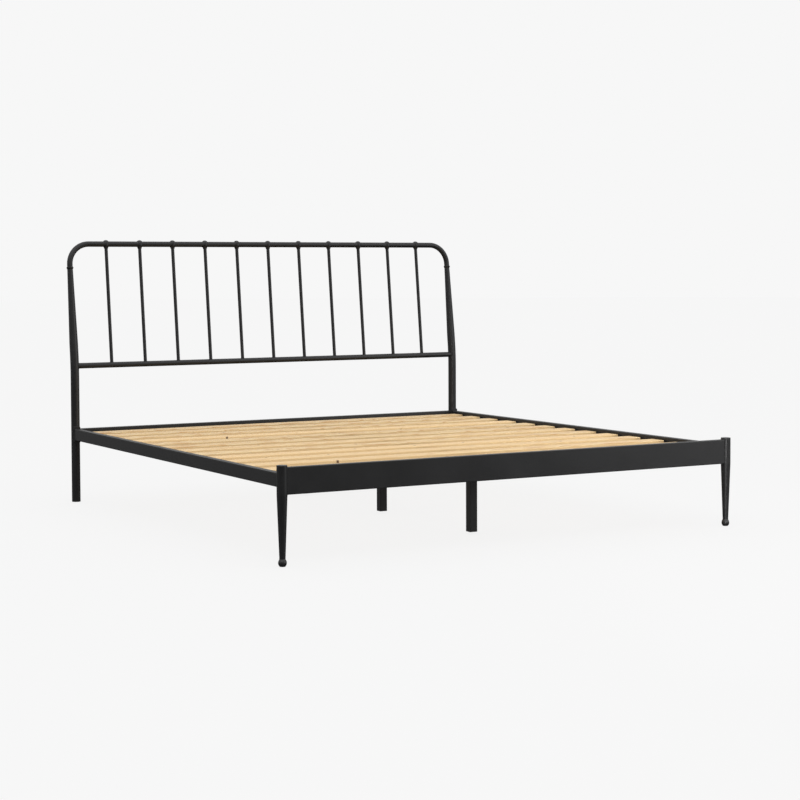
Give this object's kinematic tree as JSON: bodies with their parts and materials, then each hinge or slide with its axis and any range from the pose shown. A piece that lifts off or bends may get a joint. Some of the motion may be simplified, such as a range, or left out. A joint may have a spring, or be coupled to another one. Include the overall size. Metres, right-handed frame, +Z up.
{
  "type": "bed frame",
  "caption": "King-size metal bed frame: raked spindle headboard, low foot rail on tapered ball-footed legs, side rails and a slat deck on a centre rail with levelling legs.",
  "frame": {"origin": "on the floor, at the middle of the bed's overall length and width", "axes": "+Z up from the floor, +Y from the foot end towards the headboard, +X to the right seen from the foot end"},
  "size_m": [2.008, 2.1697, 1.1671],
  "materials": {
    "powder_coated_steel": "fine satin black powder coat",
    "black_nylon": "moulded, slightly satin",
    "black_zinc_steel": "black zinc plate",
    "zinc_plated_steel": "bright zinc plate",
    "pine": "planed, unvarnished"
  },
  "bodies": {
    "frame": {"ball_connectors": "powder_coated_steel", "centre_leg_front": "powder_coated_steel", "centre_leg_middle": "powder_coated_steel", "centre_leg_plugs": "black_nylon", "centre_leg_rear": "powder_coated_steel", "centre_rail": "powder_coated_steel", "centre_rail_brackets": "powder_coated_steel", "foot_glide_left": "black_nylon", "foot_glide_right": "black_nylon", "foot_leg_cap_left": "black_nylon", "foot_leg_cap_right": "black_nylon", "foot_leg_left": "powder_coated_steel", "foot_leg_right": "powder_coated_steel", "foot_rail": "powder_coated_steel", "frame_screws": "black_zinc_steel", "head_collar_left": "powder_coated_steel", "head_collar_right": "powder_coated_steel", "head_glide_left": "black_nylon", "head_glide_right": "black_nylon", "head_lower_tube": "powder_coated_steel", "head_post_left": "powder_coated_steel", "head_post_right": "powder_coated_steel", "head_rail": "powder_coated_steel", "head_top_tube": "powder_coated_steel", "rail_spigot_foot_left": "powder_coated_steel", "rail_spigot_foot_right": "powder_coated_steel", "rail_spigot_head_left": "powder_coated_steel", "rail_spigot_head_right": "powder_coated_steel", "side_rail_left": "powder_coated_steel", "side_rail_right": "powder_coated_steel", "slat_01": "pine", "slat_02": "pine", "slat_03": "pine", "slat_04": "pine", "slat_05": "pine", "slat_06": "pine", "slat_07": "pine", "slat_08": "pine", "slat_09": "pine", "slat_10": "pine", "slat_11": "pine", "slat_12": "pine", "slat_13": "pine", "slat_ledge_left": "powder_coated_steel", "slat_ledge_right": "powder_coated_steel", "slat_screws": "zinc_plated_steel", "spindle_01": "powder_coated_steel", "spindle_02": "powder_coated_steel", "spindle_03": "powder_coated_steel", "spindle_04": "powder_coated_steel", "spindle_05": "powder_coated_steel", "spindle_06": "powder_coated_steel", "spindle_07": "powder_coated_steel", "spindle_08": "powder_coated_steel", "spindle_09": "powder_coated_steel", "spindle_10": "powder_coated_steel", "spindle_11": "powder_coated_steel"},
    "leveller_front": {"leveller_front": "zinc_plated_steel"},
    "leveller_middle": {"leveller_middle": "zinc_plated_steel"},
    "leveller_rear": {"leveller_rear": "zinc_plated_steel"}
  },
  "joints": [
    {"name": "level_front_slide", "type": "slide", "parent": "frame", "child": "leveller_front", "axis": [0, 0, -1], "range_m": [0, 0.025]},
    {"name": "level_middle_slide", "type": "slide", "parent": "frame", "child": "leveller_middle", "axis": [0, 0, -1], "range_m": [0, 0.025]},
    {"name": "level_rear_slide", "type": "slide", "parent": "frame", "child": "leveller_rear", "axis": [0, 0, -1], "range_m": [0, 0.025]}
  ]
}
